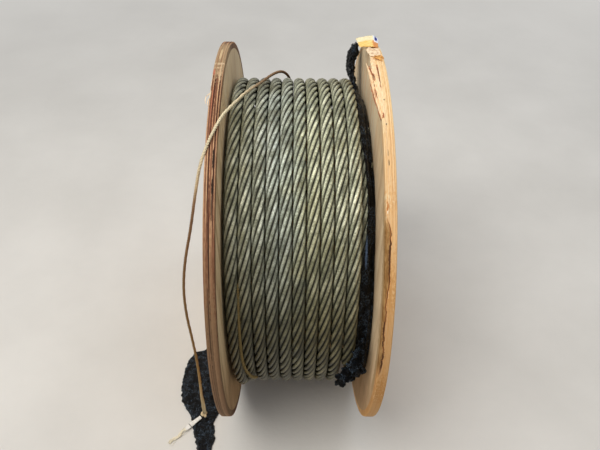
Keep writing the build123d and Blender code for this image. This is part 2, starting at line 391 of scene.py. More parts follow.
# The edges of the plies, across a board's thickness.
ply_edges, nodes, takes = effect(
    "ply_edges",
    [("Across", "value", 0), ("Round", "vector", (0, 0, 0)), ("Angle", "value", 0), ("Count", "value", 9)],
    [("Tone", "value"), ("Glue", "value"), ("End Grain", "value"), ("Streak", "value"), ("Height", "value")],
)
sway = nodes.noise(takes["Round"], 160, 3) - 0.5
place = takes["Across"] * takes["Count"] + sway * 0.5
number = nodes.math("FLOOR", place)
within = place - number
tone = nodes.add("TexWhiteNoise", {"W": number + 3.7}, noise_dimensions="1D")[0]
edge = nodes.math("MINIMUM", within, 1.0 - within)
glue = nodes.span(edge, 0.03, 0.13, 1, 0)
odd = nodes.math("MODULO", abs(number), 2)
swing = nodes.math("COSINE", takes["Angle"] * (pi / 90))
turn = (odd * 2.0 - 1.0) * swing
end_grain = nodes.span(turn, -0.4, 0.4)
streak = nodes.noise(takes["Round"], 820, 5, 0.75)
height = streak * 0.35 - glue * 0.35 - end_grain * 0.25
nodes.give(Tone=tone, Glue=glue, End_Grain=end_grain, Streak=streak, Height=height)


def spot(nodes, u, v, middle, half, rag, soft=0.4):
    """A mark's mask. middle and half are pairs for u and v."""
    return nodes.use(mark, U=u, V=v, Middle_U=middle[0], Middle_V=middle[1], Half_U=half[0], Half_V=half[1],
                     Rag=rag, Soft=soft)["Mask"]


def rim_finish(name, pale, mid, dark, glue_dark, contrast, marks, broken=0.0):
    """The finish of a rim. marks are (angle, across, half angle, half across, colour, strength).

    broken is the width of the inner edge whose veneer has come off along the front, in shares of
    the thickness.
    """
    material, nodes = finish_of(name)
    at = nodes.use(drum_place, Place=nodes.where())
    across = (abs(at["Along"]) - inner_face) * (1 / flange_thickness)
    plies = nodes.use(ply_edges, Across=across, Round=at["Round"], Angle=at["Angle"], Count=float(ply_count))
    rough = nodes.noise(nodes.stretch(at["Round"], 1, 3, 3), 300, 4, 0.65)
    broad = nodes.noise(nodes.stretch(at["Round"], 0.4, 1, 1), 120, 3)
    tone = plies["Tone"] * (0.5 * contrast) + plies["Streak"] * 0.45 + rough * (0.55 - 0.5 * contrast)
    tone = tone - plies["End Grain"] * (0.24 * contrast)
    colour = nodes.ramp(tone, (0.26, dark), (0.42, mid), (0.6, pale))
    colour = nodes.mix(nodes.span(broad, 0.45, 0.62) * 0.3, colour, mid, "MULTIPLY")
    colour = nodes.mix(plies["Glue"] * (0.3 + 0.4 * contrast), colour, glue_dark)
    rag = nodes.noise(nodes.stretch(at["Round"], 1, 5, 5), 420, 4, 0.65)
    for spot_angle, spot_across, half_angle, half_across, tint, strength in marks:
        mask = spot(nodes, at["Angle"], across, (spot_angle, spot_across), (half_angle, half_across), rag)
        colour = nodes.mix(mask * strength, colour, tint)
    # Painted shade: the rim is a little darker round the front, from 30° to 85°.
    colour = nodes.mix(nodes.span(at["Angle"], 30, 85, 0, 0.1), colour, mid, "MULTIPLY")
    if broken:
        ragged = nodes.noise(nodes.stretch(at["Round"], 0, 1, 1), 230, 5, 0.7)
        along_front = nodes.window(at["Angle"], 40.5, 46, 80, 86)
        reach = nodes.span(at["Angle"], 56, 64, broken, 0.55 * broken) + (ragged - 0.5) * 0.7
        past = across - reach * along_front
        tinted = nodes.mix(nodes.span(rough, 0.4, 0.62), "#966c3c", "#b88e5a")
        colour = nodes.mix(nodes.span(past, -0.02, 0.02, 1, 0) * along_front, colour, tinted)
        off = abs(past)
        colour = nodes.mix(nodes.span(off, 0.02, 0.13, 0.55, 0) * along_front, colour, "#d68442")
        thick = nodes.span(nodes.noise(at["Round"], 150, 3, 0.6), 0.48, 0.6, 0, 0.07)
        crack = nodes.span(off - thick, 0.015, 0.05, 0.95, 0) * nodes.span(rag, 0.3, 0.42)
        colour = nodes.mix(crack * along_front, colour, "#4e2e1a")
    surface(nodes, colour, 0.78, plies["Height"] + rough * 0.4, 0.0012, Specular_IOR_Level=0.2)
    return material


weathered_rim = rim_finish(
    "weathered_rim", "#caa078", "#96664a", "#502e22", "#301c16", 0.7,
    [(62, 0.5, 16, 1.5, "#78563c", 0.35), (92, 0.5, 40, 1.5, "#927656", 0.65),
     (92, 0.8, 26, 0.04, "#42281e", 0.8),
     (98, 0.62, 24, 0.035, "#503426", 0.8), (90, 0.42, 30, 0.03, "#5c3c2a", 0.8),
     (-8, 0.45, 15, 1.0, "#b69a76", 0.75), (-9, 0.55, 5, 0.16, "#e6ca9c", 0.6),
     (-4, 0.4, 9, 0.05, "#886042", 0.7), (-6, 0.72, 9, 0.045, "#966846", 0.7),
     (-2.4, 0.5, 0.7, 0.8, "#e8cea8", 0.5), (-0.2, 0.6, 0.5, 0.5, "#e4c49c", 0.45),
     (2.2, 0.4, 0.6, 0.4, "#dcb88e", 0.4), (1.8, 0.86, 1.6, 0.09, "#c46854", 0.7),
     (6, 0.97, 4.5, 0.05, "#f8ecd6", 0.8), (2, 0.3, 5, 0.12, "#d6ba94", 0.6),
     (14, 0.72, 9, 0.07, "#b06046", 0.6), (22, 0.9, 14, 0.05, "#e2b28a", 0.7),
     (24, 0.5, 16, 0.045, "#dea87c", 0.6),
     (-3, 0.75, 6, 0.08, "#967050", 0.6), (10.5, 0.97, 1.7, 0.14, "#f0dcb8", 0.9),
     (17, 0.35, 4, 0.1, "#5c3a2a", 0.6), (22, 0.62, 5, 0.12, "#603c2c", 0.6),
     (29, 0.24, 3.5, 0.1, "#1e1410", 0.95), (35.5, 0.24, 2.6, 0.1, "#1e1410", 0.95),
     (40, 0.26, 4.5, 0.08, "#281c16", 0.8), (20, 0.75, 6, 0.2, "#784c38", 0.5),
     (52, 0.5, 9, 0.06, "#34221a", 0.7), (70, 0.62, 14, 0.07, "#34221a", 0.7)])
fresh_rim = rim_finish(
    "fresh_rim", "#ffeac0", "#fad8a4", "#deb07a", "#ce9a66", 0.3,
    [(30, 0.5, 12, 1.3, "#eebe86", 0.5), (50, 0.6, 16, 1.3, "#e2a868", 0.6),
     (76, 0.5, 26, 1.4, "#d09452", 0.7), (108, 0.5, 26, 1.4, "#c68c4a", 0.75),
     (24, 0.60, 24, 0.03, "#d69e6c", 0.85), (28, 0.82, 32, 0.025, "#ce9664", 0.8),
     (22, 0.28, 20, 0.025, "#dea878", 0.7), (40.2, 0.17, 1.5, 0.11, "#c47634", 0.85),
     (41.2, 0.17, 0.5, 0.05, "#fff0d6", 0.9),
     (12, 0.35, 0.35, 0.10, "#3c2216", 0.95), (19.5, 0.35, 0.3, 0.06, "#462a1c", 0.9),
     (27, 0.34, 1.0, 0.035, "#5a3620", 0.85), (29.6, 0.38, 0.9, 0.045, "#54321e", 0.85)], 0.4)


def disc_finish(name, pale, mid, dark, chips=0.0, painted_top_light=0.0):
    """The face veneer of a flange, its grain upright, handled and a little soiled, with painted light over
    the top of the inner face and painted shade low on it.
    """
    material, nodes = finish_of(name)
    here = nodes.where()
    at = nodes.use(drum_place, Place=here)
    grain = nodes.use(wood_grain, Place=here, Fineness=1.2)
    tone = grain["Figure"] * 0.6 + grain["Streak"] * 0.4
    colour = nodes.ramp(tone, (0.34, dark), (0.47, mid), (0.6, pale))
    colour = nodes.mix(grain["Pore"] * 0.25, colour, dark, "MULTIPLY")
    soil = nodes.span(nodes.noise(here, 7, 5, 0.6, 0.4), 0.5, 0.72)
    colour = nodes.mix(soil * 0.35, colour, "#8c765c")
    edge = nodes.span(at["Radius"], flange_radius - 0.02, flange_radius, 0, 0.3)
    colour = nodes.mix(edge, colour, dark)
    inside = nodes.span(abs(at["Along"]), 0.13, 0.14, 1, 0)
    # Painted light: the inner face is lighter over its top, from behind round to the front.
    high = nodes.window(at["Angle"], -75, -40, 4, 26) * inside
    colour = nodes.mix(high * painted_top_light, colour, nodes.mix(nodes.span(tone, 0.4, 0.56), "#ffdaac", "#ffecc8"))
    # Painted shade: the inner face is darker and browner low down and round the lower front.
    lowest = nodes.window(at["Angle"], 90, 120, 160, 178)
    colour = nodes.mix(lowest * inside * 0.4, colour, "#ba966a", "MULTIPLY")
    low_front = nodes.window(at["Angle"], 74, 104, 150, 175)
    colour = nodes.mix(low_front * inside * 0.4, colour, "#c8a470", "MULTIPLY")
    rag = nodes.noise(nodes.stretch(at["Round"], 1, 5, 5), 300, 4, 0.65)
    chipped = spot(nodes, at["Angle"], at["Radius"], (60, 0.3745), (22, 0.0045), rag, 0.3)
    along_front = chipped * (inside * chips)
    # A tan band on the inner face, from about 26 mm inside the rim out to it, from 32° round to about 100°.
    tan_band = at["Radius"] + (rag - 0.5) * 0.02
    tan_band = nodes.span(tan_band, 0.346, 0.352) * nodes.span(at["Angle"], 32, 44, 0, 0.75 * chips) * inside
    colour = nodes.mix(tan_band * nodes.span(at["Angle"], 88, 104, 1, 0), colour, "#b08a5a")
    colour = nodes.mix(along_front, colour, nodes.mix(nodes.span(rag, 0.42, 0.58), "#5c341c", "#cc7e3a"))
    surface(nodes, colour, 0.72, tone, 0.0006, Specular_IOR_Level=0.25)
    return material


outer_veneer = disc_finish("outer_veneer", "#ecc898", "#dab07e", "#b88a5a")
inner_veneer = disc_finish("inner_veneer", "#e4cca4", "#ceb48c", "#a08460", 0.0, 0.3)
chipped_veneer = disc_finish("chipped_veneer", "#eed4ae", "#e2c49c", "#c8a882", 0.9, 0.85)

# Freshly torn wood: red-brown, with painted shade down in the tear, pale on the fibres that stand up.
torn_wood, nodes = finish_of("torn_wood")
at = nodes.use(drum_place, Place=nodes.where())
fibre = nodes.noise(nodes.stretch(at["Round"], 1, 2, 2), 700, 4, 0.7)
colour = nodes.ramp(fibre, (0.34, "#784028"), (0.5, "#b06844"), (0.7, "#e2a876"))
surface(nodes, colour, 0.85, fibre, 0.0016, Specular_IOR_Level=0.2)
split_wood, nodes = finish_of("split_wood")
at = nodes.use(drum_place, Place=nodes.where())
fibre = nodes.noise(nodes.stretch(at["Round"], 1, 2, 2), 640, 4, 0.7)
colour = nodes.ramp(fibre, (0.3, "#e2b080"), (0.46, "#f6d0a0"), (0.64, "#fce4bc"))
# Painted shade: red-brown marks where the splits between the slivers lie in shadow.
for split_angle, split_along, half_angle in ((3.0, 0.1205, 2.0), (9.6, 0.1196, 2.0), (-1.0, 0.1168, 1.6)):
    red = spot(nodes, at["Angle"], at["Along"], (split_angle, split_along), (half_angle, 0.0026), fibre)
    colour = nodes.mix(red * 0.7, colour, "#c07a54")
surface(nodes, colour, 0.8, fibre, 0.0012, Specular_IOR_Level=0.2)

# Places on the rim's outline as (across, drop from the rim), in millimetres.
rim_outline = [(0, 12), (0, 9), (0, 7), (0, 5.2), (0, 3.6), (0.15, 2.1), (0.6, 0.9), (1.3, 0.25)]
rim_outline += [(2.0 + 0.7 * step, 0) for step in range(21)]
rim_outline += [(16.7, 0.25), (17.4, 0.9), (17.85, 2.1), (18, 3.6), (18, 6), (18, 12)]


def on_drum(along, radius, angle):
    """A place on the drum, its angle in radians from the top towards the front."""
    return Vector((along, -radius * sin(angle), radius * cos(angle)))


def wander(x, y=0.0, z=0.0):
    """A gradient noise from about -1 to 1."""
    return noise.noise(Vector((x, y, z)))


def rim_noise(angle, across, fine_round, fine_across, seed=0.0):
    """A noise from -1 to 1 on the rim, drawn out along it."""
    return wander(fine_round * cos(angle) + seed, fine_round * sin(angle), across * fine_across)


def worn_rim(angle, across, drop):
    """Ply steps, dents and worn corners. Everything in millimetres."""
    rub = 0.22 * (floor(across / 2.0) % 2) + 0.25 * abs(rim_noise(angle, across, 60, 0.9))
    rub += 0.18 * abs(rim_noise(angle, across, 14, 0.4, 5))
    corner = max(0.0, 1 - min(across, 18 - across) / 2.5)
    dent = max(0.0, rim_noise(angle, across, 9, 0.1, 9) - 0.25) * 2.2 * corner
    if drop < 4:
        drop = drop + rub * (0.5 if drop else 1.0) + dent
    return across, drop


def tear_weight(degrees):
    """How far the torn place on the right flange is open, from 0 to 1."""
    return max(0.0, min(1.0, (degrees + 3.4) / 2.5, (18.7 - degrees) / 3.5))


def torn_rim(angle, across, drop):
    """The right flange: the inner corner is torn off at the top, and chipped along the front."""
    across, drop = worn_rim(angle, across, drop)
    degrees = (angle * 180 / pi + 180) % 360 - 180
    chipped = max(0.0, min(1.0, (degrees - 37) / 4, (83 - degrees) / 4))
    if chipped > 0 and across < 2.2 and drop < 8:
        rag = 0.5 + 1.6 * rim_noise(angle, 0, 70, 1, 6) + 0.8 * rim_noise(angle, 0, 210, 1, 2)
        chip = chipped * max(0.0, rag)
        drop += chip * (1 - across / 2.2)
        across += 0.5 * chip * (1 - min(1.0, drop / 8))
    open_by = tear_weight(degrees)
    if open_by > 0 and across < 5.0 and drop <= 7.0:
        jag = 0.75 + 0.5 * rim_noise(angle, 0, 34, 1, 3) + 0.25 * rim_noise(angle, across, 150, 1.4, 8)
        share = min(1.0, max(0.0, (7.0 - drop) / 12.0 + across / 12.0))
        cut_across = 4.2 * share
        cut_drop = 7.0 * (1 - share) + max(0.0, 1.2 * jag) * (1 - abs(2 * share - 1))
        across += (max(across, cut_across) - across) * open_by
        drop += (max(drop, cut_drop) - drop) * open_by
    return across, drop


def band(mesh, first, second, material=0, smooth=True):
    """Faces between two closed loops of points."""
    for corners in zip(first, first[1:] + first[:1], second[1:] + second[:1], second):
        face = mesh.faces.new(corners)
        face.material_index, face.smooth = material, smooth


def fill(mesh, loops, material):
    """A flat face inside the first loop and outside the others."""
    edges = []
    for loop in loops:
        for first, second in zip(loop, loop[1:] + loop[:1]):
            edges.append(mesh.edges.get((first, second)) or mesh.edges.new((first, second)))
    made = bmesh.ops.triangle_fill(mesh, use_beauty=True, edges=edges)
    for face in made["geom"]:
        if isinstance(face, bmesh.types.BMFace):
            face.material_index, face.smooth = material, False


def opening_outline():
    """The arbor opening with its rope slot at the back, as points of (Y, Z)."""
    slot = []
    for step in range(25):
        turn = pi * (1 - step / 24)
        slot.append((slot_middle + slot_half * cos(turn), slot_run + slot_half * sin(turn)))
    slot += [(y, -z) for y, z in reversed(slot)]
    slot = [place for place in slot if sqrt(place[0] ** 2 + place[1] ** 2) > arbor_radius]
    start = atan2(slot[0][1], slot[0][0])
    count = 180
    circle = []
    for step in range(1, count):
        turn = start + (tau - 2 * start) * step / count
        circle.append((arbor_radius * cos(turn), arbor_radius * sin(turn)))
    return slot[::-1] + circle


def flange(name, side, wear, finishes):
    mesh = bmesh.new()
    columns = []
    for across, drop in rim_outline:
        loop = []
        for step in range(rim_steps):
            angle = tau * step / rim_steps
            cut, fall = wear(angle, across, drop)
            along, radius = side * (inner_face + cut / 1000), flange_radius - max(fall, 0.0) / 1000
            loop.append(mesh.verts.new(on_drum(along, radius, angle)))
        columns.append(loop)
    for first, second in zip(columns, columns[1:]):
        band(mesh, first, second)
    if len(finishes) > 3:
        for face in mesh.faces:
            middle = face.calc_center_median()
            turn = atan2(-middle.y, middle.z) * 180 / pi
            if tear_weight(turn) > 0.3 and side * middle.x - inner_face < 0.0042:
                face.material_index, face.smooth = 3, False
    outline = opening_outline()
    walls = []
    for across, opened in [(0, 0.8), (0.3, 0.2), (1, 0), (6, 0), (12, 0), (17, 0), (17.7, 0.2), (18, 0.8)]:
        share = 1 + opened / 160
        along = side * (inner_face + across / 1000)
        walls.append([mesh.verts.new((along, y * share, z * share)) for y, z in outline])
    for first, second in zip(walls, walls[1:]):
        band(mesh, first, second)
    holes = []
    for number in range(6):
        middle = on_drum(0, rod_circle, tau * number / 6)
        rings = []
        for depth, size in [(18, recess_radius + 0.0006), (17.4, recess_radius), (9, recess_radius),
                            (9, rod_hole), (0, rod_hole)]:
            along = side * (inner_face + depth / 1000)
            turns = [tau * step / 40 for step in range(40)]
            circle = [Vector((along, size * cos(turn), size * sin(turn))) for turn in turns]
            rings.append([mesh.verts.new(middle + place) for place in circle])
        for first, second in zip(rings, rings[1:]):
            band(mesh, first, second, 0, False)
        holes.append(rings)
    fill(mesh, [columns[0], walls[0]] + [rings[-1] for rings in holes], 2)
    fill(mesh, [columns[-1], walls[-1]] + [rings[0] for rings in holes], 1)
    bmesh.ops.recalc_face_normals(mesh, faces=mesh.faces)
    made = piece(name, [], [], finishes)
    mesh.to_mesh(made.data)
    mesh.free()
    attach(made, "root")
    return made


left_flange = flange("left_flange", -1, worn_rim, [weathered_rim, outer_veneer, inner_veneer])
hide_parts("flange_left")
right_flange = flange("right_flange", 1, torn_rim, [fresh_rim, outer_veneer, chipped_veneer, torn_wood])
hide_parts("flange_right")


def grid(rows, columns, closed=False, start=0):
    """Faces of a grid of points that are listed row by row. A closed one goes round on itself."""
    faces = []
    for row in range(rows - 1):
        here, above = start + row * columns, start + (row + 1) * columns
        for n in range(columns if closed else columns - 1):
            after = (n + 1) % columns
            faces.append((here + n, here + after, above + after, above + n))
    return faces


def splinter(points, faces, line):
    """Adds a splinter that follows line: (degrees, along, radius, width, thickness), in millimetres."""
    degrees = np.linspace(line[0][0], line[-1][0], 44)
    known = np.array(sorted(line))
    outline = [(-0.5, 0.0), (-0.32, 0.45), (0.08, 0.5), (0.5, 0.2), (0.3, -0.45), (-0.25, -0.5)]
    start = len(points)
    for turn in degrees:
        along, radius, width, thickness = (np.interp(turn, known[:, 0], known[:, n]) for n in range(1, 5))
        for number, (across, up) in enumerate(outline):
            rag = wander(turn * 0.9, number * 3.1, along)
            out = along + (across + 0.22 * rag) * width
            points.append(on_drum(out / 1000, (radius + (up + 0.2 * rag) * thickness) / 1000, radians(turn)))
    faces += grid(len(degrees), 6, True, start)
    faces += [tuple(range(start, start + 6)), tuple(reversed(range(len(points) - 6, len(points))))]


points, faces = [], []
for line in (
    [(12.5, 121.5, 370.5, 1.2, 2), (9, 118.8, 371.2, 2.6, 2.4), (6, 117.0, 371.8, 4.6, 3),
     (3, 115.7, 372.2, 4.6, 3), (0, 114.2, 372.4, 3.2, 2.4), (-4.2, 111.8, 372, 0.6, 0.6)],
    [(18, 128.5, 369.5, 3.5, 5), (14.5, 123.8, 371, 4.4, 4), (11, 120.0, 372, 4.0, 3),
     (8.4, 117.4, 372.4, 2.8, 2), (6.6, 115.2, 372.4, 0.6, 0.6)],
    [(18, 130, 370.5, 3.4, 5), (13, 126.2, 372, 4.4, 4), (9, 123.2, 373, 4.6, 3),
     (6, 121.0, 373.2, 3.0, 2.4), (3.4, 119.4, 373, 0.6, 0.6)],
    [(17, 130.8, 372, 3, 4), (11, 127.6, 373.8, 7.0, 3), (6, 125.4, 374.2, 6.6, 2.6),
     (3.4, 125.0, 374.3, 6.0, 2.4), (0.8, 122.8, 374.2, 8.4, 2.2), (-3, 122.4, 374, 8.4, 2),
     (-6, 123.6, 373.8, 8.0, 1.8), (-9.5, 125.4, 373.2, 5.4, 1.4)],
    [(13.8, -147.6, 374, 0.5, 0.5), (12.8, -149.4, 374.8, 0.9, 0.8), (11.6, -148.8, 375.6, 1.1, 0.9),
     (10.4, -143.6, 375, 1.5, 1.0)],
    [(14.6, -144.2, 374.2, 0.6, 0.6), (13.2, -145.6, 374.8, 1.0, 0.8), (12.2, -143.6, 375.2, 1.3, 0.9)],
):
    splinter(points, faces, line)
rim_splinters = piece("rim_splinters", points, faces, [split_wood], smooth=False)
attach(rim_splinters, "root")
points, faces = [], []
splinter(points, faces, [
    (17, 127, 366.6, 5, 4), (12, 121.4, 368.4, 6, 3), (8, 118.6, 369.6, 7.6, 2.4),
    (4, 118.0, 370.2, 8.4, 2.2), (1, 117.4, 370.6, 6.6, 2.0), (-1.6, 116.4, 370.9, 3.4, 1.6),
    (-3.0, 116.0, 371, 0.6, 0.6)])
rim_tear = piece("rim_tear", points, faces, [torn_wood], smooth=False)
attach(rim_tear, "root")


# Wire rope: six strands of bright steel wire laid to the right round a core, greased, and
# wound in layers between the flanges. Ten turns show, and two of the layer below.
rope_radius = 0.011
turn_pitch = 0.022
turn_radius = 0.297             # of the top layer, to the middle of the rope
lower_radius = 0.277
first_turn = -0.1106
rope_lay = 0.165
cross_start, cross_end = 150.0, 250.0   # each turn moves over by one pitch at the bottom
strand_arc = [-120, -88, -60, -30, 0, 30, 60, 88]


def smooth_step(value):
    value = max(0.0, min(1.0, value))
    return value * value * (3 - 2 * value)


def laid(name, line, radius, strands, lay, material, arc, keep=None, fullness=1.0):
    """A rope of round strands along line: rows of (middle, outwards, sideways, length so far).

    Its UV map has the strand's number and the place across it in U, and the length in metres in V.
    keep says whether a face is wanted, by its middle, and leaves out those that nothing shows.
    Strands of more than 1.0 fullness are pressed into each other.
    """
    sway = sin(pi / strands)
    strand_radius = fullness * radius * sway / (1 + sway)
    strand_middle = radius - strand_radius
    reach = 180 / strands + degrees_of(asin(min(1.0, strand_middle * sway / strand_radius)))
    arc = [degrees * reach / 120 for degrees in arc]
    section = []
    for strand in range(strands):
        for degrees in arc:
            a, b = tau * strand / strands, radians(degrees)
            section.append((strand_middle * cos(a) + strand_radius * cos(a + b),
                            strand_middle * sin(a) + strand_radius * sin(a + b)))
    section = np.array(section)
    size = len(section)
    points = []
    for middle, outwards, sideways, length in line:
        turn = tau * length / lay
        out = section[:, 0] * cos(turn) - section[:, 1] * sin(turn)
        side = section[:, 0] * sin(turn) + section[:, 1] * cos(turn)
        points.append(np.outer(out, outwards) + np.outer(side, sideways) + np.array(middle))
    places = np.concatenate(points)
    across = [(degrees + reach) / (2 * reach) for degrees in arc] + [1.0]
    faces, uvs = [], []
    for row in range(len(line) - 1):
        v0, v1 = line[row][3], line[row + 1][3]
        for n in range(size):
            after = (n + 1) % size
            face = (row * size + n, row * size + after, (row + 1) * size + after, (row + 1) * size + n)
            if keep is not None and not keep(places[list(face)].mean(0)):
                continue
            strand, within = n // len(arc), n % len(arc)
            u0, u1 = (strand + 0.01 + 0.98 * place for place in across[within:within + 2])
            faces.append(face)
            uvs += [(u0, v0), (u1, v0), (u1, v1), (u0, v1)]
    made = piece(name, places.tolist(), faces, [material])
    layer = made.data.uv_layers.new(name="strand")
    layer.data.foreach_set("uv", np.array(uvs, np.float32).ravel())
    loose = bmesh.new()
    loose.from_mesh(made.data)
    bmesh.ops.delete(loose, geom=[v for v in loose.verts if not v.link_faces], context="VERTS")
    loose.to_mesh(made.data)
    loose.free()
    return made


def rope_line(start, end, along_at, radius_at, step=1.25):
    """Rows along the winding, from one angle to another, in degrees over all its turns."""
    line, length = [], 0.0
    count = int((end - start) / step)
    for number in range(count + 1):
        degrees = start + (end - start) * number / count
        angle = radians(degrees)
        middle = on_drum(along_at(degrees), radius_at(degrees), angle)
        if line:
            length += (middle - line[-1][0]).length
        line.append((middle, on_drum(0, 1, angle), Vector((-1, 0, 0)), length))
    return line


def turn_of(degrees):
    """The turn's number and how far it has crossed to the next one."""
    number = floor((degrees - cross_end + 360) / 360)
    return number, smooth_step((degrees - number * 360 - cross_start) / (cross_end - cross_start))


def slack(degrees):
    """The first turn hangs loose low on the front."""
    return smooth_step((degrees - 84) / 34) * smooth_step((168 - degrees) / 30)


def top_along(degrees):
    number, crossed = turn_of(degrees)
    within = degrees - 360 * number
    spread = 0.003 * smooth_step((number - 4) / 5)
    spread *= smooth_step((within + 70) / 60) * smooth_step((80 - within) / 50)
    return first_turn + turn_pitch * (number + crossed) + 0.0035 * slack(degrees) + spread


def top_radius(degrees):
    climbing = smooth_step((degrees + 200) / 90)
    return lower_radius + (turn_radius - lower_radius) * climbing + 0.0075 * slack(degrees)


greased_wire, nodes = finish_of("greased_wire_rope")
strand_uv = nodes.strand_uv()
here = nodes.where()
at = nodes.use(drum_place, Place=here)
strand = nodes.math("FLOOR", strand_uv[0])
within = nodes.math("FRACT", strand_uv[0])
off_middle = abs(within * 2.0 - 1.0)
wire = nodes.math("FRACT", within * 8.0 + strand_uv[1] * (12 * 3 / rope_lay)) * 2.0 - 1.0
wire_round = nodes.math("SQRT", 1.02 - wire * wire)
# groove marks the valleys between the strands, and seat the part of a turn that sits between its neighbours;
# both are darkened with grease and with painted shade.
groove = nodes.span(off_middle, 0.5, 0.74)
seat = nodes.span(at["Radius"], turn_radius - 0.001, turn_radius + 0.0055, 1, 0)
seat = seat * nodes.span(at["Radius"], lower_radius + 0.0085, lower_radius + 0.0115)
# each strand is rubbed bright and greased in its own patches along the rope
each = nodes.join(strand * 13.7, strand_uv[1] * 26)
patch = nodes.noise(each, 1, 3, 0.6)
blotch = nodes.noise(here, 24, 5, 0.65)
fine = nodes.noise(here, 420, 4, 0.7)
rubbed = patch * 0.45 + blotch * 0.25 + fine * 0.3
crown = nodes.ramp(rubbed, (0.39, "#646558"), (0.48, "#b4b6a4"), (0.58, "#fffff0"))
strewn = at["Along"] + (blotch - 0.5) * 0.12
turn_tint = nodes.ramp(nodes.span(strewn, -0.13, 0.11), (0.05, "#e4e4d6"), (0.36, "#e2eaec"),
                       (0.5, "#ecf4ee"), (0.66, "#fdfee6"), (0.95, "#feffee"))
crown = nodes.mix(1, crown, turn_tint, "MULTIPLY")
crown = nodes.mix(nodes.span(nodes.noise(here, 13, 3), 0.45, 0.65, 0, 0.32), crown, "#a8a06e")
crown = nodes.mix(nodes.span(wire_round, 0.2, 0.7, 0.5, 0), crown, "#343124")
speck = nodes.noise(nodes.stretch(here, 1, 0.7, 0.7), 330, 3, 0.7)
crown = nodes.mix(nodes.span(speck, 0.52, 0.64, 0, 0.5), crown, "#464434")
# Painted shade: each strand darker from its crown towards its flanks, which leaves a painted highlight along
# the crown.
crown = nodes.mix(nodes.span(off_middle, 0.12, 0.55, 0, 0.6), crown, "#504e3c")
rust = nodes.span(nodes.noise(here, 42, 5, 0.7), 0.55, 0.68)
# Dark grease with painted shade on it, for the valleys and the seat.
grease_and_shade = nodes.mix(rust, "#1a1911", "#3a2816")
dark = nodes.math("MAXIMUM", groove, seat * 0.9)
colour = nodes.mix(dark, crown, grease_and_shade)
# Painted shade: the rope is darker and browner round the lower front.
colour = nodes.mix(nodes.span(at["Angle"], 32, 86, 0, 0.85), colour, "#70602e", "MULTIPLY")
# Painted shade: the rope is darker over the top towards the back.
colour = nodes.mix(nodes.window(at["Angle"], -75, -45, -24, -3, 0.6), colour, "#968c68", "MULTIPLY")
surface(nodes, colour, nodes.span(dark, 0, 1, 0.36, 0.6), wire_round, 0.0005, Metallic=0.2)

top_line = rope_line(-200.0, 9 * 360 + 98.0, top_along, top_radius)
last_along = first_turn + 9 * turn_pitch


def top_shows(middle):
    """Faces that lie between neighbouring turns, or under the winding, are left out."""
    height = sqrt(middle[1] ** 2 + middle[2] ** 2) - turn_radius
    open_side = middle[0] > last_along - 0.002 or middle[0] < first_turn + 0.002
    return height > -0.0025 or open_side


top_turns = laid("wire_rope_top_turns", top_line, rope_radius, 6, rope_lay, greased_wire, strand_arc,
                 top_shows)
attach(top_turns, "root")
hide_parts("wire_rope_winding")


def lower_turn(name, along, radius):
    """A turn of a layer below, which closes on itself."""
    circle = tau * radius
    lay = circle * 6 / round(circle * 6 / rope_lay)
    line = rope_line(-145.0, 215.0, lambda degrees: along, lambda degrees: radius, 1.5)
    made = laid(name, line, rope_radius, 6, lay, greased_wire, strand_arc,
                lambda middle: sqrt(middle[1] ** 2 + middle[2] ** 2) > radius - 0.003)
    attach(made, "root")


second_along = 0.1037
lower_turn("wire_rope_second_layer_right", second_along, lower_radius)
lower_turn("wire_rope_second_layer_left", -0.1147, lower_radius)
lower_turn("wire_rope_third_layer_right", 0.1147, 0.257)


# Black film: what is left of the plastic wrapping. A band lies in the corner at the right
# flange, a torn strip stands up behind the top, and the end is crumpled low on the front.
def film_finish(name, dustiness, crease_highlight_strength, gloss, fineness=1.0):
    """Black plastic film: dust in its hollows, creases with a painted pale highlight, and a painted blue
    highlight along the band.
    """
    material, nodes = finish_of(name)
    here = nodes.where()
    at = nodes.use(drum_place, Place=here)
    folds = nodes.noise(nodes.stretch(at["Round"], 1, 6, 6), 260, 4, 0.6, 0.6)
    small = nodes.noise(here, 150, 4, 0.6, 1.5)
    dust = nodes.span(nodes.noise(here, 70, 5, 0.75), 0.56, 0.78)
    shred = nodes.noise(nodes.stretch(here, 1, 0.5, 1), 170.0 * fineness, 4, 0.65, 1.2)
    patches = nodes.noise(here, 55.0 * fineness, 4, 0.6)
    crease_and_highlight = nodes.span(abs(shred - 0.5), 0, 0.035, 1, 0) * nodes.span(patches, 0.44, 0.58)
    colour = nodes.mix(dust * dustiness, "#060607", "#464e5e")
    # Painted highlight: pale bluish lines along the creases.
    colour = nodes.mix(crease_and_highlight * crease_highlight_strength, colour, "#728496")
    # Painted highlight: a blue streak along the band, low on the front.
    streak = spot(nodes, at["Angle"], at["Along"], (53, 0.1085), (6.5, 0.0028), shred, 0.6)
    colour = nodes.mix(streak * 0.6, colour, "#607696")
    height = folds + (small * 0.6 + crease_and_highlight * 0.15)
    surface(nodes, colour, nodes.span(dust, 0, 1, 0.2, 0.5), height, 0.004, Specular_IOR_Level=gloss)
    return material


black_film = film_finish("black_film", 0.18, 0.6, 0.11)
crumpled_film = film_finish("crumpled_film", 0.3, 1.0, 0.04, 1.3)
trodden_film = film_finish("trodden_film", 0.4, 1.0, 0.16, 1.7)


def crumple(place, size, sharp=1.0):
    """How far a crumpled film stands off at a place, from about -1 to 1."""
    near = noise.voronoi(place * (1 / size))[0]
    fine = noise.voronoi(place * (2.7 / size) + Vector((7, 3, 1)))[0]
    return sharp * ((near[1] - near[0]) - 0.45) + 0.4 * ((fine[1] - fine[0]) - 0.45)


def film(name, points, rows, columns, material, thickness=0.0004, closed=False):
    made = piece(name, points, grid(rows, columns, closed), [material])
    shell = made.modifiers.new("thickness", "SOLIDIFY")
    shell.thickness = thickness
    shell.offset = 0
    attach(made, "root")
    return made


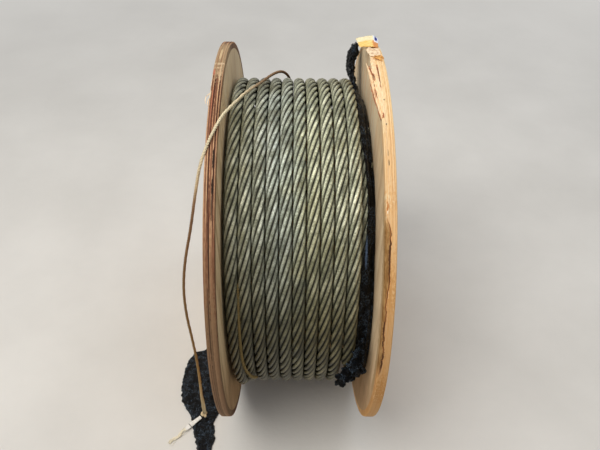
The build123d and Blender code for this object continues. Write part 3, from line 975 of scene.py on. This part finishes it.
def along_path(path, share):
    """A place on straight runs through points, by its share of their length."""
    lengths = [(b - a).length for a, b in zip(path, path[1:])]
    left = share * sum(lengths)
    for a, b, length in zip(path, path[1:], lengths):
        if left <= length or b is path[-1]:
            return a + (b - a) * min(1.0, left / length)
        left -= length


corner = inner_face - 0.0005
# The band's edge on the rope, and its foot on the flange, both in millimetres at the band's angles.
band_angles = [-44, -24, 0, 13, 22, 34, 42, 50, 58, 64, 70, 76, 82, 94, 108]
band_left = [101, 101.5, 103, 104, 107.6, 110.4, 110, 107.4, 100.5, 99.4, 99.4, 99.4, 99.4, 99.4, 99.4]
band_foot = [270, 265, 260, 260, 260, 268, 270, 267, 263, 267, 273, 278, 281, 286, 292]
rows, columns = 300, 26
points = []
for row in range(rows):
    degrees = -44 + 152 * row / (rows - 1)
    angle = radians(degrees)
    left, foot = (np.interp(degrees, band_angles, edge) / 1000 for edge in (band_left, band_foot))
    left += 0.0011 * wander(degrees * 0.3) + 0.0008 * wander(degrees * 1.1, 4)
    ragged = 0.003 * wander(degrees * 0.21, 6) + 0.0015 * wander(degrees * 0.9, 4)
    over_rope = 0.2775 + sqrt(max(0.0, 0.0115 ** 2 - (left - second_along) ** 2))
    climb = 0.004 * smooth_step((degrees - 52) / 10)
    profile = [Vector((left, over_rope + 0.0008 + climb, 0)), Vector((max(left + 0.002, 0.1125), 0.2858, 0)),
               Vector((0.1172, max(0.2692, foot + 0.010), 0)), Vector((0.1215, max(0.2664, foot + 0.004), 0)),
               Vector((corner, foot + 0.6 * ragged, 0))]
    for column in range(columns):
        place = along_path(profile, column / (columns - 1))
        fold = 0.0018 * wander(place.x * 420, degrees * 0.07)
        fold += 0.0009 * wander(place.x * 900, degrees * 0.2, 3)
        on = on_drum(place.x, place.y, angle)
        lift = fold + 0.0012 * crumple(Vector((on.x * 2.2, on.y, on.z)), 0.03)
        points.append(on_drum(min(corner, place.x + lift * 0.4), place.y + 0.001 + max(-0.0006, lift), angle))
film_band = film("film_band", points, rows, columns, black_film)
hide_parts("wrap_strip_right")

# The strip is drawn together, and its top is torn.
rows, columns = 90, 72
strip_heights = [0.272, 0.290, 0.305, 0.315, 0.330, 0.345, 0.360, 0.372, 0.379]
strip_middle = [0.1165, 0.1120, 0.1085, 0.1072, 0.1045, 0.1052, 0.1082, 0.1120, 0.1110]
strip_half = [0.0060, 0.0060, 0.0050, 0.0045, 0.0078, 0.0088, 0.0108, 0.0085, 0.0060]
points = []
for row in range(rows):
    rise = row / (rows - 1)
    centre, spread = radians(-35 - 3 * smooth_step(rise * 3)), radians(9.0 - 3.6 * rise)
    for column in range(columns):
        turn = tau * column / columns
        torn = 0.0075 * wander(turn * 1.6, 1) + 0.006 * wander(turn * 6, 2)
        radius = 0.272 + (0.1030 + torn) * rise
        middle, half = (np.interp(radius, strip_heights, widths) for widths in (strip_middle, strip_half))
        on = on_drum(middle + half * cos(turn), radius, centre + spread * sin(turn))
        lift = 0.0070 * crumple(Vector((on.x, on.y, on.z * 0.6)), 0.016, 1.3) + 0.0045 * noise.noise(on * 260)
        lift *= min(1.0, rise * 4)
        along = middle + (half + 0.7 * lift) * cos(turn)
        points.append(on_drum(min(corner, along), radius, centre + (spread + lift * 2.2) * sin(turn)))
film_strip = film("film_strip", points, rows, columns, black_film, 0.0004, True)

# The crumpled end runs from the corner down and to the left, under the last turns.
rows, columns = 130, 84
wad_shares = [0, 0.3, 0.55, 0.8, 1]
wad_radius = 0.319
lowest, highest = 0.3085, 0.334     # between the rope and the solid's outer side
points = []
for row in range(rows):
    share = row / (rows - 1)
    swell = 0.35 + 0.65 * smooth_step(share * 4)
    if share > 0.5:
        swell = max(0.0, sin(pi * min(1.0, 0.06 + 0.94 * share))) ** 0.5
    degrees = 79.5 + 33.5 * share
    middle = np.interp(share, wad_shares, [0.1080, 0.1015, 0.0925, 0.0810, 0.0700])
    half_width = np.interp(share, wad_shares, [0.0105, 0.0150, 0.0200, 0.0190, 0.0125])
    thick = 0.0115 * swell
    for column in range(columns):
        turn = tau * column / columns
        on = on_drum(middle + half_width * cos(turn), wad_radius + thick * sin(turn), radians(degrees))
        lift = (0.0105 * crumple(on, 0.021, 1.3) + 0.005 * noise.noise(on * 90)) * swell
        radius = max(lowest, min(highest, wad_radius + (thick + lift) * sin(turn)))
        along = max(0.0600, min(0.1200, middle + (half_width * swell + lift) * cos(turn)))
        points.append(on_drum(along, radius, radians(degrees + 2.2 * wander(turn * 1.3, share * 2) * share)))
film_wad = piece("film_wad", points, grid(rows, columns, True), [crumpled_film])
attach(film_wad, "root")
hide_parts("wrap_wad_right")

# The flap of the same wrapping on the ground, caught under the left flange.
near_edge = [(-36, 6), (-50, -14), (-72, -13), (-90, 16), (-150, 42), (-210, 28), (-240, 42), (-283, 36),
             (-330, 50)]
far_edge = [(-36, 70), (-52, 84), (-56, 105), (-80, 119), (-110, 125), (-156, 127), (-192, 120), (-226, 96),
            (-268, 84), (-318, 68), (-330, 54)]
flange_face = -0.144
rows, columns = 210, 100
points = []
for row in range(rows):
    y = -36 - 294 * row / (rows - 1)
    near, far = (np.interp(-y, [-a for a, b in edge], [b for a, b in edge]) for edge in (near_edge, far_edge))
    near += 3.5 * wander(y * 0.12) + 1.5 * wander(y * 0.5, 2)
    far += 3.0 * wander(y * 0.14, 9) + 1.5 * wander(y * 0.6, 5)
    far = min(far, 127.0)
    rise = 0.0003 + (-36 - y) / 1000 * 0.0253        # it rises a little towards its far end
    for column in range(columns):
        out = near + (far - near) * column / (columns - 1)
        place = Vector((flange_face - out / 1000, y / 1000, 0))
        inside = min(1.0, 8 * min(column, columns - 1 - column) / columns)
        lift = 0.0058 * (crumple(Vector((place.x * 1.5, place.y * 0.8, 0)), 0.030, 1.3) + 0.4)
        lift += 0.0035 * wander(place.x * 110, place.y * 22)
        lift *= 0.25 + 0.75 * inside
        if abs(place.y) < 0.075:
            lift *= 0.25
        height = floor_level + 0.0005 + rise * (0.35 + 0.65 * inside) + max(0.0, lift)
        points.append((place.x, place.y, height))
film_flap = film("film_flap", points, rows, columns, trodden_film)
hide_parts("wrap_flap_left")


# Label: a folded paper tape over the right rim, behind the top, cream with a golden fold
# and a blue spot, without print. Under it lie crumpled paper and a chip of wood.
cream_paper, nodes = finish_of("cream_paper")
here = nodes.where()
at = nodes.use(drum_place, Place=here)
soft = nodes.noise(here, 190, 4)
colour = nodes.ramp(soft, (0.3, "#ead8a6"), (0.65, "#faecc2"))
edge = at["Angle"] + nodes.noise(here, 60, 3) * 4.0
streaks = nodes.noise(nodes.stretch(here, 0.3, 1, 1), 420, 3)
golden = nodes.mix(nodes.span(streaks, 0.42, 0.6), "#f0b854", "#fcd884")
golden = nodes.mix(nodes.span(at["Along"], 0.129, 0.133), golden, "#ce7e32")
colour = nodes.mix(nodes.span(edge, -16.4, -15.7) * 0.92, colour, golden)
colour = nodes.mix(nodes.span(at["Along"], 0.1335, 0.1355) * nodes.span(at["Angle"], -17.6, -16.8, 1, 0),
                   colour, "#ecf0fa")
blue = spot(nodes, at["Angle"], at["Along"], (-19.8, 0.1392), (2.2, 0.0034), soft)
colour = nodes.mix(blue, colour, "#1a247a")
creased = nodes.ramp(soft, (0.36, "#cca884"), (0.56, "#f2d8b4"))
colour = nodes.mix(nodes.span(at["Angle"], -13.7, -13.3), colour, creased)
surface(nodes, colour, 0.6, soft, 0.0006, Specular_IOR_Level=0.3)


def crumpled_paper(name, start, start_path, end, end_path, height, cell, seed):
    """Paper over the rim, from a path of (along, radius) at one angle in degrees to a path at another."""
    rows = columns = 56
    outermost = 0.1436              # within the flange's outer face
    paths = [[Vector((*place, 0)) for place in path] for path in (start_path, end_path)]
    points = []
    for row in range(rows):
        share = row / (rows - 1)
        for column in range(columns):
            first, last = (along_path(path, column / (columns - 1)) for path in paths)
            place = first.lerp(last, share)
            torn = 1.1 * wander(place.x * 90 + seed, 5 * share) * (2 * share - 1)
            angle = radians(start + (end - start) * share + torn)
            on = on_drum(place.x, place.y, angle)
            lift = height * (crumple(on + Vector((seed, 0, 0)), cell, 1.1) + 0.35)
            along = min(outermost, place.x + 0.3 * lift)
            points.append(on_drum(along, place.y + 0.0006 + max(0.0, lift), angle))
    return film(name, points, rows, columns, cream_paper, 0.0005)


label = crumpled_paper(
    "rim_paper_label",
    -22, [(0.1037, 0.3820), (0.112, 0.3856), (0.124, 0.3878), (0.1345, 0.3888), (0.1450, 0.3845)],
    -13.9, [(0.1060, 0.3775), (0.116, 0.3785), (0.128, 0.3778), (0.1345, 0.3768), (0.1390, 0.3762)],
    0.0026, 0.016, 0)
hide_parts("rim_label")
paper_scrap = crumpled_paper(
    "rim_paper_scrap",
    -13.5, [(0.1165, 0.3745), (0.1215, 0.3768), (0.1290, 0.3766), (0.1395, 0.3756)],
    -7.6, [(0.1200, 0.3730), (0.1240, 0.3756), (0.1290, 0.3757), (0.1400, 0.3753)],
    0.0030, 0.011, 7)
chip_wood, nodes = finish_of("chip_of_wood")
fibre = nodes.noise(nodes.stretch(nodes.where(), 0.2, 1, 1), 500, 4, 0.7)
colour = nodes.ramp(fibre, (0.35, "#b27030"), (0.6, "#ecb66a"))
surface(nodes, colour, 0.8, fibre, 0.0012, Specular_IOR_Level=0.2)
points, faces = [], []
for first, last, along in ((-4.2, -6.4, 124), (-5.6, -7.2, 128)):
    middle = ((first + last) / 2, along + 9, 377.8, 9, 3)
    splinter(points, faces, [(first, along + 15, 376.6, 1.0, 0.8), middle, (last, along, 377, 2.0, 1.2)])
rim_chip = piece("rim_chip", points, faces, [chip_wood], smooth=False)
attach(rim_chip, "root")


# Twine: tan natural fibre, three yarns laid up, that held the wrapping. It comes over the
# top from a groove in the winding, crosses the left rim and hangs to the ground.
natural_fibre, nodes = finish_of("natural_fibre")
strand_uv = nodes.strand_uv()
here = nodes.where()
hair = nodes.math("PINGPONG", strand_uv[0] * 9.0 + strand_uv[1] * 700, 0.5)
tone = hair * 0.7 + nodes.noise(here, 900, 3) * 0.6
rise = (nodes.parts(here)[2] + 0.37) / 0.72        # its height over the ground
colour = nodes.ramp(rise, (0, "#f0dcb2"), (0.1, "#e2c898"), (0.24, "#c29c62"),
                    (0.36, "#a68450"), (0.56, "#947446"), (0.83, "#96724e"),
                    (0.88, "#b28e68"), (0.92, "#fae2b6"), (1.0, "#fff2ce"))
colour = nodes.mix(nodes.span(tone, 0.3, 0.62, 0.5, 0), colour, "#b6a284", "MULTIPLY")
at = nodes.use(drum_place, Place=here)
greasy = nodes.span(at["Angle"], -16, 6, 1, 0)
colour = nodes.mix(greasy * 0.88, colour, "#7e5a3e")
in_groove = nodes.span(at["Along"], -0.125, -0.118) * nodes.span(at["Radius"], 0.318, 0.322, 1, 0)
colour = nodes.mix(in_groove * nodes.span(at["Angle"], 50, 56) * 0.75, colour, "#807042")
surface(nodes, colour, 0.85, tone, 0.0006)


def smooth_route(name, route):
    """The places that a route's own spline passes through."""
    curve = bpy.data.curves.new(name, "CURVE")
    curve.dimensions = "3D"
    curve.resolution_u = 16
    spline = curve.splines.new("NURBS")
    spline.points.add(len(route) - 1)
    for point, place in zip(spline.points, route):
        point.co = (*place, 1.0)
    spline.order_u = 3
    spline.use_endpoint_u = True
    holder = show(bpy.data.objects.new(name, curve))
    mesh = bpy.data.meshes.new_from_object(holder)
    places = [vertex.co.copy() for vertex in mesh.vertices]
    bpy.data.objects.remove(holder)
    bpy.data.meshes.remove(mesh)
    return places


def carried(places, side=None, closed=False):
    """Rows for laid(), with a side that is carried along without a twist. A closed line ends at its start."""
    side = side or (places[1] - places[0]).cross(Vector((0.3, 0.2, 1.0))).normalized()
    near = places[-1:] + places + places[:2] if closed else places[:1] + places + places[-1:]
    line, length = [], 0.0
    for before, place, after in zip(near, near[1:], near[2:]):
        length += (place - before).length if line else 0.0
        direction = (after - before).normalized()
        side = (side - direction * side.dot(direction)).normalized()
        line.append((place, side, direction.cross(side), length))
    return line


def yarns(name, line, radius, lay, material):
    """Three yarns laid up along line."""
    return laid(name, line, radius, 3, lay, material, [-120, -70, -30, 0, 30, 70], fullness=1.22)


def twine(name, route, diameter, replaced):
    places = smooth_route(name, route)
    line = carried(places)
    made = yarns(name, line, 0.58 * diameter, 0.015, natural_fibre)
    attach(made, "root")
    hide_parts(replaced)


def on_winding(route):
    """Points of (along, radius, degrees) in metres."""
    return [on_drum(along, radius, radians(degrees)) for along, radius, degrees in route]


long_route = on_winding([
    (-0.0116, 0.30723, -80), (-0.0116, 0.30763, -70), (-0.0141, 0.3125, -60), (-0.0186, 0.3143, -50)])
long_route += [Vector(place) / 1000 for place in [
    (-20, 203, 241), (-33, 160, 279), (-51, 118, 296), (-72, 58, 311), (-92, 10, 325), (-110, -62, 344),
    (-123, -122, 361), (-148, -184, 333), (-161, -202, 275), (-174, -213, 210), (-189, -226, 150),
    (-198, -236, 88), (-200, -241, 22), (-197, -244, -46), (-196, -245, -114), (-198, -243, -182),
    (-202, -238, -244), (-206, -232, -299), (-208.5, -227.5, -356)]]
lower_route = on_winding([
    (-0.0996, 0.3003, 62), (-0.0996, 0.3022, 72), (-0.0996, 0.3048, 82), (-0.0993, 0.30680, 91),
    (-0.0956, 0.3118, 98), (-0.0886, 0.3133, 103), (-0.0826, 0.3123, 106.5), (-0.0776, 0.30702, 110)])

# White tape round the twine's end, with a dark line round it, and the frayed fibres beyond.
tape_middle = Vector((-0.231, -0.247, floor_level + 0.0089))
tape_turn = radians(43)
tape_paper, nodes = finish_of("white_tape")
here = nodes.where()
beside = nodes.vector_math("DOT_PRODUCT", here, (cos(tape_turn), sin(tape_turn), 0))[1]
along_tape = beside - (tape_middle.x * cos(tape_turn) + tape_middle.y * sin(tape_turn))
line_mark = nodes.span(abs(along_tape + 0.0085), 0.0006, 0.0013, 1, 0)
colour = nodes.ramp(nodes.noise(here, 220, 4), (0.3, "#ded8cc"), (0.7, "#faf8f2"))
surface(nodes, nodes.mix(line_mark * 0.85, colour, "#282628"), 0.6, nodes.noise(here, 500), 0.0004)
rows, columns = 44, 28
points = []
for row in range(rows):
    share = row / (rows - 1)
    for column in range(columns):
        turn = tau * column / columns
        wide = 0.0053 * (0.9 + 0.12 * sin(5 * share))
        place = Vector((-0.021 + 0.042 * share, wide * cos(turn), 0.0021 * sin(turn)))
        place += Vector((0, 0.35, 0.5)) * 0.0012 * noise.noise(place * 260)
        place.rotate(Matrix.Rotation(tape_turn, 3, "Z"))
        points.append(place + tape_middle)
faces = grid(rows, columns, True)
faces += [tuple(reversed(range(columns))), tuple(range((rows - 1) * columns, rows * columns))]
tape = piece("twine_tape", points, faces, [tape_paper])
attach(tape, "root")
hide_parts("lashing_tape")

pale_fibre, nodes = finish_of("frayed_fibre")
tone = nodes.noise(nodes.where(), 700, 3)
surface(nodes, nodes.ramp(tone, (0.3, "#e2d4b2"), (0.7, "#fff8e4")), 0.85, tone, 0.0004)
points, faces = [], []
for number in range(36):
    seed = Vector((number * 3.7, 1.3, 0))
    reach = 0.037 + 0.015 * (0.5 + noise.noise(seed * 2.3))
    spread = 0.22 * noise.noise(seed * 1.9)
    rows = 16
    start = len(points)
    for row in range(rows):
        share = row / (rows - 1)
        side = 0.0034 * noise.noise(seed) + spread * reach * share ** 1.5
        side += 0.0034 * noise.noise(seed + Vector((0, 4.5 * share, 0)))
        side += 0.0022 * sin(9.5 * share + 2.4 * noise.noise(seed * 3.1)) * min(1.0, 4 * share)
        up = 0.0012 * noise.noise(seed + Vector((5, 2.5 * share, 0)))
        middle = Vector((-0.019 - reach * share, side, up))
        middle.rotate(Matrix.Rotation(tape_turn, 3, "Z"))
        middle += tape_middle - Vector((0, 0, 0.0062 * smooth_step(share * 1.3)))
        middle.z = max(middle.z, floor_level + 0.0009)
        thin = 0.00072 * (1 - 0.5 * share)
        for turn in (0, 2.1, 4.2):
            out = thin * cos(turn) * 0.7
            points.append(middle + Vector((out, -out, thin * sin(turn))))
    faces += grid(rows, 3, True, start)
frayed_end = piece("twine_frayed_end", points, faces, [pale_fibre])
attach(frayed_end, "root")

# The knot is an overhand knot drawn tight.
knot_fibre, nodes = finish_of("knot_fibre")
tone = nodes.noise(nodes.where(), 1100, 4, 0.7, 1.5)
surface(nodes, nodes.ramp(tone, (0.3, "#bea072"), (0.7, "#fae6be")), 0.85, tone, 0.0006)
knot_middle = Vector((-0.2085, -0.227, -0.3636))
knot_lean = Matrix.Rotation(radians(50), 3, "X") @ Matrix.Rotation(radians(20), 3, "Z")
knot_loop = []
for number in range(132):
    t = tau * number / 132
    place = Vector((sin(t) + 2 * sin(2 * t), cos(t) - 2 * cos(2 * t), -1.3 * sin(3 * t))) * 0.0019
    knot_loop.append(knot_lean @ place + knot_middle)
knot_line = carried(knot_loop, closed=True)
knot = yarns("twine_knot", knot_line, 0.0023, knot_line[-1][3] / 6, knot_fibre)
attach(knot, "root")
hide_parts("lashing_knot")

# The knot's tail is turned back up along the twine.
tail_places = smooth_route("tail_route", [Vector(place) / 1000 for place in [
    (-202.8, -237, -250), (-203.0, -234, -280), (-203.6, -231, -310), (-204.2, -228.8, -335),
    (-205.4, -227.2, -357)]])
twine_tail = yarns("twine_tail", carried(tail_places, Vector((1, 0, 0))), 0.0024, 0.015, natural_fibre)
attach(twine_tail, "root")

twine("twine_over_rim", long_route, 0.005, "lashing_twine")
twine("twine_in_groove", lower_route, 0.005, "lashing_lower_twine")
